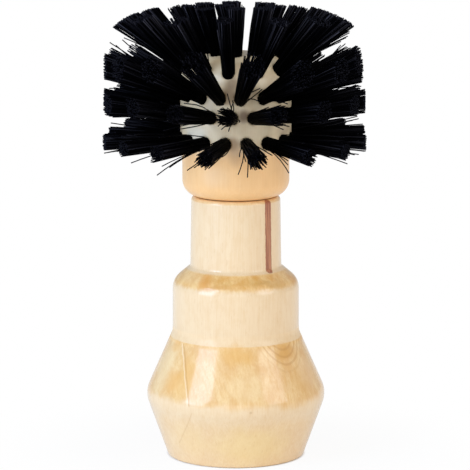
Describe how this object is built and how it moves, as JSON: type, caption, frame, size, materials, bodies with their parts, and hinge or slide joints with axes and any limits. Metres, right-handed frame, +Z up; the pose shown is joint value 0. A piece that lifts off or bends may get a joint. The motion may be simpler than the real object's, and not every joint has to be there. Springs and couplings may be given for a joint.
{
  "type": "portafilter brush",
  "caption": "Coffee portafilter cleaning brush: turned wooden handle that stands on its base, round screwed-on head with stiff black bristle tufts all round and on top.",
  "frame": {"origin": "middle of the handle's underside, on the surface that the brush stands on", "axes": "+Z up along the handle, -Y the front that the picture shows, +X to its right"},
  "size_m": [0.0802, 0.0802, 0.1377],
  "materials": {
    "handle_wood": "clear gloss lacquer",
    "head_wood": "satin lacquer",
    "bristle": "black nylon filament",
    "steel": "bright zinc",
    "brass": "bright"
  },
  "bodies": {
    "handle": {"handle": "handle_wood", "threaded_insert": "brass"},
    "stud": {"stud": "steel"},
    "head": {"brush_head": "head_wood", "crown_tufts": "bristle", "first_row_tuft_01": "bristle", "first_row_tuft_02": "bristle", "first_row_tuft_03": "bristle", "first_row_tuft_04": "bristle", "first_row_tuft_05": "bristle", "first_row_tuft_06": "bristle", "first_row_tuft_07": "bristle", "first_row_tuft_08": "bristle", "first_row_tuft_09": "bristle", "first_row_tuft_10": "bristle", "first_row_tuft_11": "bristle", "first_row_tuft_12": "bristle", "first_row_tuft_13": "bristle", "first_row_tuft_14": "bristle", "first_row_tuft_15": "bristle", "first_row_tuft_16": "bristle", "second_row_tuft_01": "bristle", "second_row_tuft_02": "bristle", "second_row_tuft_03": "bristle", "second_row_tuft_04": "bristle", "second_row_tuft_05": "bristle", "second_row_tuft_06": "bristle", "second_row_tuft_07": "bristle", "second_row_tuft_08": "bristle", "second_row_tuft_09": "bristle", "second_row_tuft_10": "bristle", "second_row_tuft_11": "bristle", "second_row_tuft_12": "bristle", "second_row_tuft_13": "bristle", "second_row_tuft_14": "bristle", "second_row_tuft_15": "bristle", "second_row_tuft_16": "bristle", "third_row_tuft_01": "bristle", "third_row_tuft_02": "bristle", "third_row_tuft_03": "bristle", "third_row_tuft_04": "bristle", "third_row_tuft_05": "bristle", "third_row_tuft_06": "bristle", "third_row_tuft_07": "bristle", "third_row_tuft_08": "bristle", "third_row_tuft_09": "bristle", "third_row_tuft_10": "bristle", "third_row_tuft_11": "bristle", "third_row_tuft_12": "bristle", "third_row_tuft_13": "bristle", "third_row_tuft_14": "bristle", "third_row_tuft_15": "bristle", "third_row_tuft_16": "bristle"}
  },
  "joints": [
    {"name": "head_lift", "type": "slide", "parent": "handle", "child": "stud", "axis": [0, 0, 1], "range_m": [0, 0.0101]},
    {"name": "head_turn", "type": "hinge", "parent": "stud", "child": "head", "pos_m": [0, 0, 0.0799], "axis": [0, 0, 1], "range_deg": [0, 2880]}
  ],
  "couplings": [
    {"joint": "head_lift", "follows": "head_turn", "m_per_rad": 0.00019894}
  ]
}
